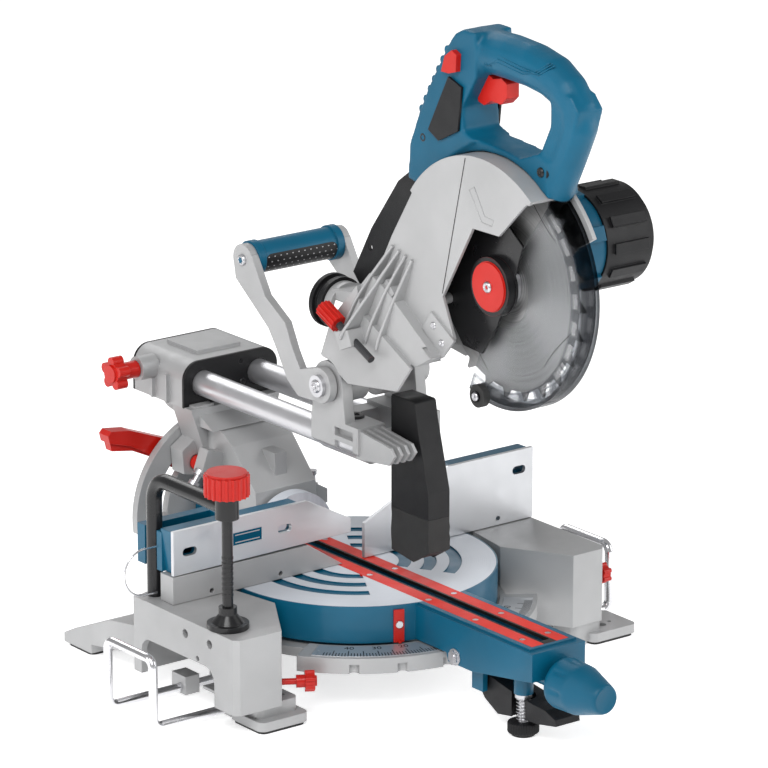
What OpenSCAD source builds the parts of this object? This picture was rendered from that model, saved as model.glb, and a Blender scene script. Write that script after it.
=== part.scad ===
// Sliding compound mitre saw on its own cast base, head raised and carriage pulled forward.
// Origin: centre of the four bench holes, at bench level. +X right, +Y to the rear, +Z up.

/* [Table] */
// Height of the work surface above the bench
table_h = 95; // [94:0.5:97]
// Radius of the turntable
table_r = 134; // [131:0.5:135]
// Reach of the table arm in front of the pivot
arm_reach = 302; // [296:1:310]
// Half width of the table arm
arm_half = 31; // [29:0.5:32]

/* [Fence] */
// Half length of the fence
fence_half = 214; // [208:1:218]
// Height of the fence above the table
fence_h = 71; // [68:1:74]

/* [Slide] */
// Distance between the rail centres
rail_gap = 66; // [64:0.5:68]
// Diameter of the rails
rail_d = 25; // [24:0.5:26]
// Height of the rail centres above the bench
rail_z = 229; // [227:0.5:231]

/* [Blade] */
// Outside diameter of the blade
blade_d = 216; // [210:1:217]
// Number of teeth on the blade
blade_teeth = 24; // [12:1:48]
// Thickness of the blade body
blade_t = 1.8; // [1.4:0.1:2.4]

/* [Trim] */
// Diameter of the carrying grip
grip_d = 31; // [28:0.5:33]
// Diameter of the clamp spindle
clamp_rod_d = 10; // [9:0.5:11]

/* [Hidden] */
$fn = 64;
pivot_x = -23;
pivot_y = -33;
// bench holes, from the pivot
hole_w = 196;
hole_f = -102;
hole_b = 168;
// bevel axis runs along Y at table height
bev_z = table_h;
// hinge of the head
hin_y = -20;
hin_z = 284;
// blade centre
hub_y = -226;
hub_z = 418.8;
// motor axis
mot_y = -186;
mot_z = 432;
rail_x = rail_gap / 2;
ring_z = 58;
knob_z = 62;
fence_z = table_h + fence_h;
post_x = -208;
post_y = 36;
clamp_y = -79.5;

module at_pivot() translate([pivot_x, pivot_y, 0]) children();
// profile in Y,Z drawn along +X from x0
module yz(x0, w) translate([x0, 0, 0]) rotate([90, 0, 90]) linear_extrude(w) children();
// profile in X,Z drawn along +Y from y0
module xz(y0, w) translate([0, y0 + w, 0]) rotate([90, 0, 0]) linear_extrude(w) children();
module xy(z0, h) translate([0, 0, z0]) linear_extrude(h) children();
module rod_x(x0, y, z, r, l) translate([x0, y, z]) rotate([0, 90, 0]) cylinder(r = r, h = l);
module rod_y(x, y0, z, r, l) translate([x, y0, z]) rotate([-90, 0, 0]) cylinder(r = r, h = l);
module rod_z(x, y, z0, r, l) translate([x, y, z0]) cylinder(r = r, h = l);
module box(a, b) translate(a) cube(b - a);
module rrect(w, h, r) {
  square([w - 2 * r, h], center = true);
  square([w, h - 2 * r], center = true);
  for (i = [-1, 1])
    for (j = [-1, 1])
      translate([i * (w / 2 - r), j * (h / 2 - r)]) circle(r);
}
module slot2(l, w) {
  square([l - w, w], center = true);
  for (i = [-1, 1]) translate([i * (l - w) / 2, 0]) circle(w / 2);
}
// sector of a circle from angle a to angle b, radius r
module sector(r, a, b) {
  n = 6;
  polygon(concat([[0, 0]], [for (i = [0 : n])
    [r * 1.3 * cos(a + (b - a) * i / n), r * 1.3 * sin(a + (b - a) * i / n)]]));
}
module ring2(r0, r1) difference() {
  circle(r1);
  circle(r0);
}
module arc2(r0, r1, a, b) intersection() {
  ring2(r0, r1);
  sector(r1, a, b);
}
// star or knurl outline: n lobes round radius r
module lobes(n, r, rl) {
  circle(r);
  for (i = [0 : n - 1]) rotate(i * 360 / n) translate([r, 0]) circle(rl);
}
module hub_yz() translate([hub_y, hub_z]) children();

// ---------------------------------------------------------------- base
module block_left() polygon([[-226, 46], [-226, -111], [-221, -116], [-175, -117],
  [-134, -51], [-142, 0], [-140, 26], [-160, 46]]);
module block_right() polygon([[214, 46], [214, -108], [208, -115], [172, -115],
  [134, -51], [142, 0], [140, 26], [160, 46]]);
module block_left_in() polygon([[-219, 39], [-219, -104], [-214, -109], [-179, -110],
  [-143, -51], [-151, 0], [-148, 30], [-164, 39]]);
module block_right_in() polygon([[207, 39], [207, -104], [202, -108], [177, -108],
  [143, -51], [151, 0], [148, 30], [164, 39]]);
module foot_plan(x0, x1, y0, y1) translate([(x0 + x1) / 2, (y0 + y1) / 2])
  rrect(x1 - x0, y1 - y0, 7);

module base_casting() at_pivot() color([0.62, 0.63, 0.65]) {
  difference() {
    union() {
      xy(22, table_h - 22) block_left();
      xy(22, table_h - 22) block_right();
      // front feet
      xy(3, 9) foot_plan(-202, -147, -122, -71);
      xy(3, 9) foot_plan(194, 249, -120, -69);
      xy(3, 22) foot_plan(-198, -152, -112, -82);
      xy(3, 22) foot_plan(176, 212, -112, -76);
      box([-204, -90, 12], [-170, -84, 30]);
      yz(206, 6) polygon([[-104, 12], [-72, 12], [-72, 40], [-96, 40]]);
      // floor ring, scale ring and pivot boss
      rod_z(0, 0, 46, 143, 9);
      xy(43, ring_z - 43) intersection() {
        circle(172);
        polygon([[0, 0], [-190, -128], [-190, -190], [190, -190], [190, -128]]);
      }
      rod_z(0, 0, 30, 26, 26);
      for (x = [post_x, 196]) rod_z(x, post_y, 56, 12, 39);
      // arms of the frame under the blocks
      box([-222, -30, 22], [-130, -18, 55]);
      box([-222, 20, 22], [-130, 32, 55]);
      box([130, -30, 22], [210, -18, 55]);
      box([130, 20, 22], [210, 32, 55]);
      // guides of the work supports
      for (s = [-1, 1]) {
        box([s * 191 - 8, 2, 3], [s * 191 + 8, 24, 30]);
        box([s * 191 - 8, -70, 3], [s * 191 + 8, -54, 30]);
        box([s * 191 - 8, -70, 18], [s * 191 + 8, -26, 30]);
        box([s * 152 - 8, 2, 3], [s * 152 + 8, 18, 30]);
        box([s * 152 - 8, -70, 3], [s * 152 + 8, -54, 30]);
      }
      // rear legs
      yz(-204, 74) polygon([[40, 22], [40, 58], [118, 46], [176, 22], [196, 12], [196, 3],
        [150, 3], [150, 12], [60, 26]]);
      yz(176, 74) polygon([[40, 22], [40, 58], [118, 46], [176, 22], [196, 12], [196, 3],
        [150, 3], [150, 12], [60, 26]]);
      box([-140, 100, 26], [200, 112, 44]);
    }
    // hollow blocks
    difference() {
      union() {
        xy(21, table_h - 21 - 7) block_left_in();
        xy(21, table_h - 21 - 7) block_right_in();
      }
      for (x = [post_x, 196]) rod_z(x, post_y, 56, 12, 39);
    }
    // arched openings in the side walls
    side_opening(-230);
    side_opening(204);
    // turntable well and pivot bore
    rod_z(0, 0, 55, table_r + 2, 60);
    rod_z(0, 0, 20, 8, 60);
    for (a = [30 : 60 : 330]) rotate(a) translate([78, 0, 40]) cylinder(r = 24, h = 30);
    // notches in the rim of the scale ring
    for (a = [232, 247, 262, 285, 300])
      rotate(a) translate([172, 0, 41]) cylinder(r = 4.5, h = 11);
    // bench holes
    for (x = [0, hole_w * 2])
      for (y = [hole_f, hole_b]) rod_z(-173 + x, y, -1, 4.5, 60);
    for (x = [0, hole_w * 2]) rod_z(-161 + x, hole_f + 3, -1, 2.2, 30);
    // side holes
    for (y = [-37, -75]) rod_x(-230, y, 81, 4.2, 14);
    rod_x(-230, -56, 62, 2.5, 14);
    rod_x(203, -60, 78, 4.2, 14);
    // stretcher channels
    for (y = [10, -62]) {
      rod_x(-240, y, 9, 4.25, 120);
      rod_x(120, y, 9, 4.25, 120);
    }
    // knob threads
    translate([-168, -106, 41]) rotate([0, 90, -32]) cylinder(r = 3.1, h = 30, center = true);
    rod_x(190, -88, 58, 3.1, 40);
    // clamp sockets
    for (x = [post_x, 196]) rod_z(x, post_y, 50, 7.6, 60);
    // fence bolt holes
    for (x = [-190, -160, 160, 190]) rod_z(x, 14, 70, 3.1, 40);
  }
}
module side_opening(x0) {
  box([x0, -82, 10], [x0 + 30, 34, 44]);
  box([x0, -68, 43], [x0 + 30, 20, 58]);
  for (y = [-68, 20]) rod_x(x0, y, 44, 14, 30);
}

module foot_pads() at_pivot() color([0.12, 0.12, 0.12])
  difference() {
    union() {
      xy(0, 2.9) foot_plan(-200, -149, -120, -73);
      xy(0, 2.9) foot_plan(196, 247, -118, -71);
      xy(0, 2.9) foot_plan(-202, -132, 152, 194);
      xy(0, 2.9) foot_plan(178, 248, 152, 194);
    }
    for (x = [0, hole_w * 2])
      for (y = [hole_f, hole_b]) rod_z(-173 + x, y, -1, 4.5, 60);
    for (x = [0, hole_w * 2]) rod_z(-161 + x, hole_f + 3, -1, 2.2, 30);
  }

module mitre_scale() at_pivot() color([0.8, 0.81, 0.82])
  difference() {
    xy(ring_z, 0.8) intersection() {
      ring2(140, 168);
      polygon([[0, 0], [-190, -150], [-190, -190], [190, -190], [190, -150]]);
    }
    for (a = [-50 : 5 : 50]) rotate(a) box([-0.35, -167, ring_z + 0.4], [0.35, -156, ring_z + 2]);
  }

// ---------------------------------------------------------------- fence
module fence_fixed() at_pivot() color([0.70, 0.71, 0.72])
  difference() {
    union() {
      intersection() {
        xz(0, 20) polygon([[-fence_half + 1, table_h + 0.4], [-17, table_h + 0.4], [-57, 122],
          [-fence_half + 1, 122]]);
        xy(90, 60) polygon([[-230, -1], [-16, -1], [-16, 1], [-44, 21], [-230, 21]]);
      }
      xy(table_h + 0.4, 5.6) polygon([[-fence_half + 1, 0], [-150, 0], [-150, 30], [-200, 30]]);
      intersection() {
        box([12, 8, table_h + 0.4], [fence_half, 22, 118]);
        xy(90, 60) polygon([[230, 7], [24, 7], [48, 23], [230, 23]]);
      }
      xy(table_h + 0.4, 5.6) polygon([[fence_half, 8], [150, 8], [150, 26],
        [188, 26]]);
    }
    for (x = [-190, -160, 160, 190]) rod_z(x, 14, 90, 3.1, 40);
    for (x = [-190, -160, 160, 190]) rod_z(x, 14, 112, 6.2, 12);
    for (x = [-169, -89.5]) rod_y(x, -1, 100.5, 2.4, 30);
  }

module fence_bolts() at_pivot() color([0.35, 0.36, 0.38])
  for (x = [-190, -160, 160, 190])
    difference() {
      union() {
        rod_z(x, 14, 74, 3.05, 39);
        rod_z(x, 14, 112, 5.2, 5);
      }
      translate([x, 14, 114]) linear_extrude(4) circle(2.6);
    }

module left_upper() polygon([[-fence_half + 2, 123], [-7, 125], [-7, 139], [-58, fence_z],
  [-fence_half + 2, fence_z]]);
module left_fence_face() at_pivot() color([0.80, 0.81, 0.82])
  difference() {
    xz(0, 4) left_upper();
    for (x = [-193.7, -84.5]) translate([x, 5, 144]) rotate([90, 0, 0]) linear_extrude(6) slot2(16, 8);
    xz(-0.1, 0.7) translate([-127.3, 145]) square([34, 13], center = true);
  }
module left_fence_carrier() at_pivot() color([0.03, 0.30, 0.48])
  difference() {
    union() {
      xz(4, 16) polygon([[-fence_half + 6, 123], [-30, 125], [-36, 139], [-66, fence_z - 1],
        [-fence_half + 2, fence_z - 1]]);
      box([-fence_half + 2, 19, 123], [-120, 27, fence_z - 5]);
      box([-138, 26, 123], [-120, 58, fence_z - 5]);
      box([-fence_half + 2, 46, 123], [-120, 58, fence_z - 5]);
    }
    box([-fence_half + 8, 8, 128], [-150, 24, fence_z - 9]);
    for (x = [-193.7, -84.5]) translate([x, 30, 144]) rotate([90, 0, 0]) linear_extrude(27) slot2(16, 8);
    xz(8, 30) polygon([[-112, 128], [-60, 128], [-60, 150], [-76, 158], [-112, 158]]);
  }

module right_upper() polygon([[9.5, table_h + 0.8], [9.5, 130], [48.6, 147.6],
  [111, fence_z + 1], [fence_half + 1, fence_z + 1], [fence_half + 1, table_h + 0.8]]);
module right_fence_face() at_pivot() color([0.80, 0.81, 0.82])
  difference() {
    xz(0, 4) right_upper();
    translate([197.6, 5, 147]) rotate([90, 0, 0]) linear_extrude(6) slot2(16, 8);
    rod_y(171.9, -1, 102.5, 2.4, 8);
  }
module right_fence_carrier() at_pivot() color([0.03, 0.30, 0.48])
  difference() {
    union() {
      xz(4, 3.6) polygon([[24, table_h + 4], [24, 126], [60, 146], [116, fence_z - 1],
        [fence_half, fence_z - 1], [fence_half, table_h + 4]]);
      xz(7, 15) polygon([[60, 119], [60, 140], [120, fence_z - 1], [fence_half, fence_z - 1],
        [fence_half, 119]]);
    }
    translate([197.6, 30, 147]) rotate([90, 0, 0]) linear_extrude(27) slot2(16, 8);
    xz(11, 30) polygon([[90, 124], [90, 146], [124, 160], [180, 160], [180, 124]]);
  }

module wire_loop() at_pivot() color([0.75, 0.75, 0.76])
  translate([-214, 26, 0]) {
    translate([-13, 0, 146]) rotate([0, 90, 0]) cylinder(r = 1, h = 14);
    translate([-13, 0, 101]) rotate([0, 90, 0]) cylinder(r = 1, h = 14);
    translate([-13, 0, 123.5]) rotate([90, 0, 0]) rotate([0, 0, 90])
      rotate_extrude(angle = 180, $fn = 64) translate([22.5, 0]) circle(1, $fn = 20);
  }

// ---------------------------------------------------------------- base moving pieces
module pivot_bolt() at_pivot() color([0.5, 0.5, 0.52]) {
  rod_z(0, 0, 24, 7.95, 44);
  difference() {
    rod_z(0, 0, 64, 13, 8);
    translate([0, 0, 68]) linear_extrude(6) circle(6);
  }
  rod_z(0, 0, 20, 15, 9.8);
}

// stretcher: two legs along X, two uprights, a bar along Y; sx = -1 left, 1 right
module stretcher(xe, sx, leg) {
  r = 4.2;
  rb = 9;
  yf = -62;
  yr = 10;
  zb = 9;
  zt = 74;
  for (y = [yf, yr]) {
    translate([xe - sx * rb, y, zb]) rotate([0, -sx * 90, 0]) cylinder(r = r, h = leg);
    translate([xe, y, zb + rb]) cylinder(r = r, h = zt - zb - 2 * rb);
    translate([xe - sx * rb, y, zb + rb]) rotate([90, 0, 0])
      rotate([0, 0, sx > 0 ? -90 : 180]) rotate_extrude(angle = 90) translate([rb, 0]) circle(r);
  }
  translate([xe, yf + rb, zt]) rotate([-90, 0, 0]) cylinder(r = r, h = yr - yf - 2 * rb);
  translate([xe, yr - rb, zt - rb]) rotate([90, 0, 90]) rotate_extrude(angle = 90)
    translate([rb, 0]) circle(r);
  translate([xe, yf + rb, zt - rb]) rotate([90, 0, 90]) rotate([0, 0, 90])
    rotate_extrude(angle = 90) translate([rb, 0]) circle(r);
}
module left_stretcher() at_pivot() color([0.82, 0.82, 0.84]) stretcher(-280, -1, 130);
module right_stretcher() at_pivot() color([0.82, 0.82, 0.84]) stretcher(261, 1, 120);

module wing_knob(z0) {
  translate([0, 0, z0]) cylinder(r = 3, h = 30 - z0);
  translate([0, 0, 14]) cylinder(r = 6, h = 10);
  translate([0, 0, 22]) linear_extrude(9) lobes(6, 8, 2.4);
  translate([0, 0, 30]) cylinder(r = 5, h = 3);
}
module left_stretcher_knob() at_pivot() color([0.80, 0.06, 0.05])
  translate([-168, -106, 41]) rotate([0, 90, -32]) wing_knob(-1);
module right_stretcher_knob() at_pivot() color([0.80, 0.06, 0.05])
  translate([204, -88, 58]) rotate([0, 90, 0]) wing_knob(-12);

// clamp
module clamp_post() at_pivot() color([0.07, 0.07, 0.08])
  translate([post_x, 0, 0]) difference() {
    union() {
      translate([0, post_y, 56]) cylinder(r = 7.5, h = 132);
      translate([0, post_y - 22, 188]) rotate([90, 0, 90]) rotate_extrude(angle = 90)
        translate([22, 0]) circle(7.5);
      translate([0, clamp_y + 8, 210]) rotate([-90, 0, 0]) cylinder(r = 7.5, h = post_y - 30 - clamp_y);
      translate([0, clamp_y, 200]) cylinder(r = 11, h = 20);
    }
    translate([0, clamp_y, 190]) cylinder(r = clamp_rod_d / 2 + 0.05, h = 40);
  }
module clamp_spindle() at_pivot() color([0.09, 0.09, 0.10]) {
  rod_z(post_x, clamp_y, 108, clamp_rod_d / 2, 116);
  for (z = [126 : 5 : 161]) rod_z(post_x, clamp_y, z, clamp_rod_d / 2 + 0.4, 2.4);
}
module clamp_knob() at_pivot() color([0.80, 0.06, 0.05])
  translate([post_x, clamp_y, 222]) difference() {
    union() {
      linear_extrude(20) lobes(20, 19.6, 1.6);
      translate([0, 0, 20]) cylinder(r = 18.5, h = 2.5);
    }
    translate([0, 0, -1]) cylinder(r = clamp_rod_d / 2 - 0.1, h = 3.1);
  }
module clamp_pad() at_pivot() color([0.16, 0.16, 0.17])
  translate([post_x, clamp_y, table_h + 0.4]) difference() {
    union() {
      cylinder(r = 19.5, h = 5);
      translate([0, 0, 5]) cylinder(r1 = 15, r2 = 8.5, h = 8);
      translate([0, 0, 13]) cylinder(r = 8.5, h = 7);
    }
    translate([0, 0, 12]) cylinder(r = clamp_rod_d / 2 + 0.05, h = 10);
  }

// ---------------------------------------------------------------- turntable
module rear_lug(y0, w, r) xz(y0, w) difference() {
  union() {
    translate([0, bev_z]) circle(r);
    translate([-44, 58]) square([88, 32]);
  }
  translate([-80, 0]) square([160, ring_z + 1.2]);
}
module turntable() at_pivot() color([0.03, 0.30, 0.48])
  difference() {
    union() {
      difference() {
        union() {
          rod_z(0, 0, ring_z + 1.2, table_r, table_h - ring_z - 1.2);
          // arm
          yz(-arm_half, 2 * arm_half) polygon([[-110, 60], [-177, 60], [-180, 52], [-215, 52],
            [-arm_reach, 66], [-arm_reach, table_h - 2], [-110, table_h - 2]]);
          yz(-arm_half + 4, 2 * arm_half - 8) polygon([[-110, 60], [-110, table_h],
            [-arm_reach + 8, table_h], [-arm_reach + 8, 70]]);
          // rear bracket
          yz(-44, 88) polygon([[100, ring_z + 1.2], [100, table_h - 8], [108, table_h - 8],
            [108, 66], [250, 66], [250, ring_z + 1.2]]);
        }
        // hollow below
        rod_z(0, 0, 50, table_r - 8, table_h - 50 - 12);
        yz(-arm_half + 6, 2 * arm_half - 12) polygon([[-90, 50], [-90, table_h - 12],
          [-arm_reach + 8, table_h - 12], [-arm_reach + 8, 50]]);
      }
      // hub and ribs inside the hollow
      rod_z(0, 0, ring_z + 1.2, 24, 4.6);
      for (a = [30 : 60 : 330])
        rotate(a) box([20, -2.5, ring_z + 1.2], [table_r - 4, 2.5, table_h - 11]);
      // boss of the screw foot
      rod_z(-8, -262, 40, 9, 45);
      // boss of the knob shaft and cheeks of the detent lever
      rod_y(0, -arm_reach + 0.3, knob_z, 9.5, 27);
      box([-3, -arm_reach + 1, knob_z], [3, -277, table_h - 9]);
      for (s = [-1, 1]) box([s * 18.5 - 2.8, -219, 31], [s * 18.5 + 2.8, -203, 85]);
      rod_x(-20, -210, 40, 2.95, 40);
      // bevel lugs in front of and behind the tower
      rear_lug(94, 14, 43);
      rear_lug(212, 11, 29);
    }
    // pocket of the kerf inserts and the slot below
    box([-21.8, -arm_reach + 12, table_h - 3.2], [21.8, 93, table_h + 2]);
    box([-9, -arm_reach + 26, table_h - 30], [9, 92, table_h + 2]);
    // arc grooves in the top face
    for (r = [[40, 52], [64, 76], [88, 100]])
      for (s = [0, 180])
        translate([0, 0, table_h - 1.5]) linear_extrude(4) arc2(r[0], r[1], s - 60, s + 60);
    // pivot bore
    rod_z(0, 0, 50, 8, 20);
    // bevel pin bore
    rod_y(0, 93.9, bev_z, 9, 146);
    // room for the tilting knuckle
    xz(107, 36) intersection() {
      translate([0, bev_z]) circle(46.5);
      translate([-50, 64]) square([100, 31.1]);
    }
    // knob shaft bore and screw foot bore
    rod_y(0, -arm_reach - 5, knob_z, 5.05, 44);
    rod_z(-8, -262, 30, 5.05, 44);
    // side bolt holes
    rod_x(-arm_half - 1, -190, 59, 4, 14);
    // insert screw holes
    for (y = [-268, -200, -130, -40, 70])
      for (x = [-15, 15]) rod_z(x, y, table_h - 12, 1.65, 14);
    rotate(-20.5) rod_y(0, -table_r - 1, 77, 1.6, 7);
  }

module kerf_inserts() at_pivot() color([0.78, 0.05, 0.05])
  difference() {
    box([-21.5, -arm_reach + 12.4, table_h - 3.1], [21.5, 92, table_h]);
    box([-5.2, -arm_reach + 20, table_h - 6], [5.2, 93, table_h + 2]);
    for (y = [-268, -200, -130, -40, 70])
      for (x = [-15, 15]) rod_z(x, y, table_h - 6, 1.65, 8);
    for (y = [-268, -200, -130, -40, 70])
      for (x = [-15, 15]) rod_z(x, y, table_h - 1.2, 3.1, 4);
  }

module insert_screws() at_pivot() color([0.6, 0.6, 0.62])
  for (y = [-268, -200, -130, -40, 70])
    for (x = [-15, 15]) {
      rod_z(x, y, table_h - 11, 1.6, 10.2);
      rod_z(x, y, table_h - 1.2, 2.9, 1);
    }

module mitre_pointer() at_pivot() color([0.80, 0.06, 0.05]) {
  difference() {
    rotate(-20.5) {
      box([-5, -table_r - 2.6, ring_z + 1.4], [5, -table_r - 0.1, table_h - 4]);
      box([-1.2, -table_r - 6, ring_z + 1.4], [1.2, -table_r - 2.5, ring_z + 3.4]);
    }
    rotate(-20.5) rod_y(0, -table_r - 6, 77, 1.6, 10);
  }
}

module arm_bolts() at_pivot() color([0.55, 0.56, 0.58]) {
  rod_x(-arm_half, -190, 59, 3.95, 10);
  rod_x(-arm_half - 1, -190, 59, 8, 1);
  translate([-arm_half - 3.4, -190, 59]) rotate([0, 90, 0]) cylinder(r = 6.6, h = 2.4, $fn = 6);
  rod_x(-arm_half - 4.2, -190, 59, 3.9, 0.8);
  rotate(-20.5) {
    rod_y(0, -table_r - 2.6, 77, 1.55, 8);
    rod_y(0, -table_r - 4.2, 77, 3.4, 1.6);
  }
  difference() {
    rod_z(-8, -262, 36.2, 8, 3.6);
    rod_z(-8, -262, 30, 5, 12);
  }
}

module bevel_quadrant() at_pivot() color([0.60, 0.61, 0.63])
  xz(224, 8) difference() {
    union() {
      translate([0, bev_z]) arc2(24, 98, 112, 188);
      polygon([[-90, 66.4], [-90, 100], [-52, 132], [-20, 126], [24, 104], [44, 90], [44, 66.4]]);
    }
    translate([0, bev_z]) arc2(62, 76, 120, 180);
    translate([0, bev_z]) circle(9);
  }

module bevel_pin() at_pivot() color([0.45, 0.46, 0.48]) {
  rod_y(0, 94.5, bev_z, 8.95, 141.5);
  rod_y(0, 232.2, bev_z, 14, 9);
}

module arm_knob() at_pivot() color([0.03, 0.30, 0.48]) {
  translate([0, -arm_reach - 5, knob_z]) rotate([90, 0, 0]) {
    linear_extrude(30) lobes(8, 20.5, 3.6);
    translate([0, 0, 30]) cylinder(r1 = 22.5, r2 = 17, h = 20);
    translate([0, 0, 50]) cylinder(r = 15.5, h = 12);
    translate([0, 0, -4]) cylinder(r = 15, h = 5);
  }
  rod_y(0, -arm_reach - 12, knob_z, 4.95, 36);
}

module detent_lever() at_pivot() color([0.08, 0.08, 0.09])
  difference() {
    union() {
      yz(-14, 28) polygon([[-204, 45], [-218, 46], [-250, 40], [-283, 36], [-300, 35],
        [-315, 30], [-316, 24], [-290, 19], [-262, 17], [-232, 12], [-213, 22], [-203, 34]]);
      rod_x(-15, -210, 40, 7, 30);
    }
    rod_x(-20, -210, 40, 3, 40);
    rod_z(-8, -262, 0, 11.5, 60);
  }

module foot_screw() at_pivot() color([0.10, 0.10, 0.11]) {
  rod_z(-8, -262, 12, 4.95, 52);
  for (z = [16 : 4 : 32]) rod_z(-8, -262, z, 6, 2);
  translate([-8, -262, 2]) linear_extrude(11) lobes(18, 13.6, 1.3);
  rod_z(-8, -262, 0, 11, 2.5);
}
// ---------------------------------------------------------------- tower
module housing_face() {
  translate([0, 221]) square([112, 28], center = true);
  for (s = [-1, 1]) translate([s * 38, 234]) circle(18);
  translate([-38, 218]) square([76, 34]);
}
lock_x = -41.5;
lock_z = 150;
module tower() at_pivot() color([0.63, 0.64, 0.66])
  difference() {
    union() {
      xz(205, 80) housing_face();
      xz(222, 50) translate([0, 252]) square([52, 7], center = true);
      // knuckle on the bevel axis
      rod_y(0, 109.5, bev_z, 28, 101);
      // leaning column
      yz(-36, 72) polygon([[110, 100], [113, 140], [150, 178], [204, 208], [270, 208],
        [262, 198], [223, 198], [223, 160], [180, 128], [180, 100]]);
      xz(190, 33) polygon([[-36, 150], [-56, 208], [50, 208], [36, 150]]);
      yz(-46, 92) polygon([[168, 190], [206, 209], [262, 209], [244, 198], [200, 190]]);
      // lever lug in front of the quadrant
      xz(203, 20) polygon([[-20, 134], [-36, 136], [-56, 140], [-58, 164], [-40, 176], [-20, 176]]);
      // stop lugs
      xz(165, 14) polygon([[-62, 152], [-30, 128], [-30, 166], [-54, 174]]);
      xz(118, 22) polygon([[30, 110], [54, 112], [54, 126], [30, 140]]);
      // small bosses under the housing
      box([-50, 192, 194], [-28, 206, 210]);
      box([-6, 122, 148], [8, 152, 172]);
      // seat of the lock knob
      rod_x(-74, 256, 238, 12, 20);
      // webs on the left side of the housing
      for (y = [226, 250]) box([-60, y, 208], [-54, y + 3, 236]);
    }
    // seat of the front seal plate
    box([-60, 201.7, 206.8], [60, 205, 256]);
    // rail bores
    for (s = [-1, 1]) rod_y(s * rail_x, 204, rail_z, rail_d / 2 + 3.5, 90);
    // core
    xz(212, 66) translate([0, rail_z]) square([rail_gap - rail_d - 14, 28], center = true);
    // bevel bore and room for the rear lug
    rod_y(0, 90, bev_z, 9.05, 140);
    rod_y(0, 211, bev_z, 40, 14);
    // knob and bolt bores
    rod_x(-80, 256, 238, 4.05, 60);
    rod_y(lock_x, 196, lock_z, 4.05, 40);
    rod_y(lock_x, 190, lock_z, 8.2, 14);
  }

module seal_plate() at_pivot() color([0.07, 0.07, 0.08])
  difference() {
    union() {
      xz(202, 2.9) housing_face();
      xz(285.1, 2.9) housing_face();
    }
    for (s = [-1, 1]) rod_y(s * rail_x, 190, rail_z, rail_d / 2 + 0.3, 110);
    rod_y(12, 200, 243, 2.4, 3);
  }
module linear_bushes() at_pivot() color([0.55, 0.56, 0.58])
  for (s = [-1, 1])
    for (y = [206, 262])
      difference() {
        rod_y(s * rail_x, y, rail_z, rail_d / 2 + 3.5, 22);
        rod_y(s * rail_x, y - 1, rail_z, rail_d / 2 + 0.05, 24);
      }

module bevel_stop() at_pivot() color([0.65, 0.66, 0.68]) {
  translate([-52, 172, 160]) rotate([0, -142, 0]) {
    cylinder(r = 3.2, h = 22);
    translate([0, 0, 10]) cylinder(r = 6, h = 5);
    translate([0, 0, 22]) cylinder(r = 5.4, h = 5);
  }
  translate([44, 129, 124]) {
    cylinder(r = 3.2, h = 16);
    translate([0, 0, 2.2]) cylinder(r = 5.6, h = 4.5);
    translate([0, 0, 16]) cylinder(r = 4.6, h = 4);
  }
}
module bevel_lever() at_pivot() color([0.80, 0.08, 0.06]) {
  xz(236, 16) union() {
    translate([lock_x, lock_z]) circle(14);
    polygon([[lock_x - 2, lock_z + 14], [-96, 184], [-118, 187], [-122, 183], [-120, 175],
      [-96, 168], [lock_x + 2, lock_z - 14]]);
  }
  xz(239, 10) polygon([[lock_x, lock_z + 10], [lock_x, lock_z - 12], [-92, 162], [-116, 166], [-119, 178],
    [-96, 176]]);
  rod_y(lock_x, 197, lock_z, 4, 44);
  rod_y(lock_x, 194, lock_z, 7.5, 8.8);
}

module rail_lock_knob() at_pivot() color([0.80, 0.06, 0.05]) {
  translate([-92, 256, 238]) rotate([0, -90, 0]) {
    linear_extrude(12) lobes(5, 11.5, 5.2);
    translate([0, 0, 12]) cylinder(r = 9, h = 2);
  }
  rod_x(-92.2, 256, 238, 8.5, 17.4);
  rod_x(-76, 256, 238, 4, 29.2);
}

// ---------------------------------------------------------------- carriage
module rails() at_pivot() color([0.80, 0.81, 0.83])
  for (s = [-1, 1])
    difference() {
      rod_y(s * rail_x, -62, rail_z, rail_d / 2, 354);
      rod_y(s * rail_x, -64, rail_z, rail_d / 2 - 2.5, 358);
    }

module fork() at_pivot() color([0.63, 0.64, 0.66])
  difference() {
    union() {
      // arms round the rail ends
      for (s = [-1, 1]) {
        xz(-66, 72) polygon([[s * 17, 214], [s * 34, 214], [s * 48.5, 226], [s * 48.5, 251],
          [s * 17, 251]]);
        // ears
        yz(s > 0 ? 37 : -48.5, 11.5) union() {
          translate([hin_y, hin_z]) circle(22);
          polygon([[-48, 240], [-42, 284], [2, 284], [6, 240]]);
        }
      }
      // four fingers in front of the left arm
      for (x = [-46, -38, -30, -22])
        yz(x, 3) polygon([[-60, 220], [-60, 249], [-112, 243], [-118, 236], [-110, 226]]);
      // cross beam
      box([-18, -12, 216], [18, 6, 247]);
      rod_x(-20, -56, 232, 9, 40);
    }
    for (s = [-1, 1]) rod_y(s * rail_x, -63, rail_z, rail_d / 2, 80);
    // hinge bore
    rod_x(-60, hin_y, hin_z, 8, 120);
    // clamp screw bores
    for (s = [-1, 1]) rod_z(s * 27, -34, 240, 4, 20);
    // lightening in the arm faces
    for (s = [-1, 1])
      for (z = [228, 241]) box([s > 0 ? 43 : -50, -58, z - 4], [s > 0 ? 50 : -43, -30, z + 4]);
  }

module fork_screws() at_pivot() color([0.09, 0.09, 0.10]) {
  for (s = [-1, 1]) {
    rod_z(s * 27, -34, 242, 3.95, 9);
    difference() {
      rod_z(s * 27, -34, 251, 8.6, 2.6);
      rod_z(s * 27, -34, 252.4, 4, 4);
    }
  }
}

module hinge_pin() at_pivot() color([0.55, 0.56, 0.58]) {
  rod_x(-59, hin_y, hin_z, 7.95, 118);
  rod_x(-62.6, hin_y, hin_z, 10.5, 4);
  rod_x(58.6, hin_y, hin_z, 10.5, 4);
}

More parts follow.
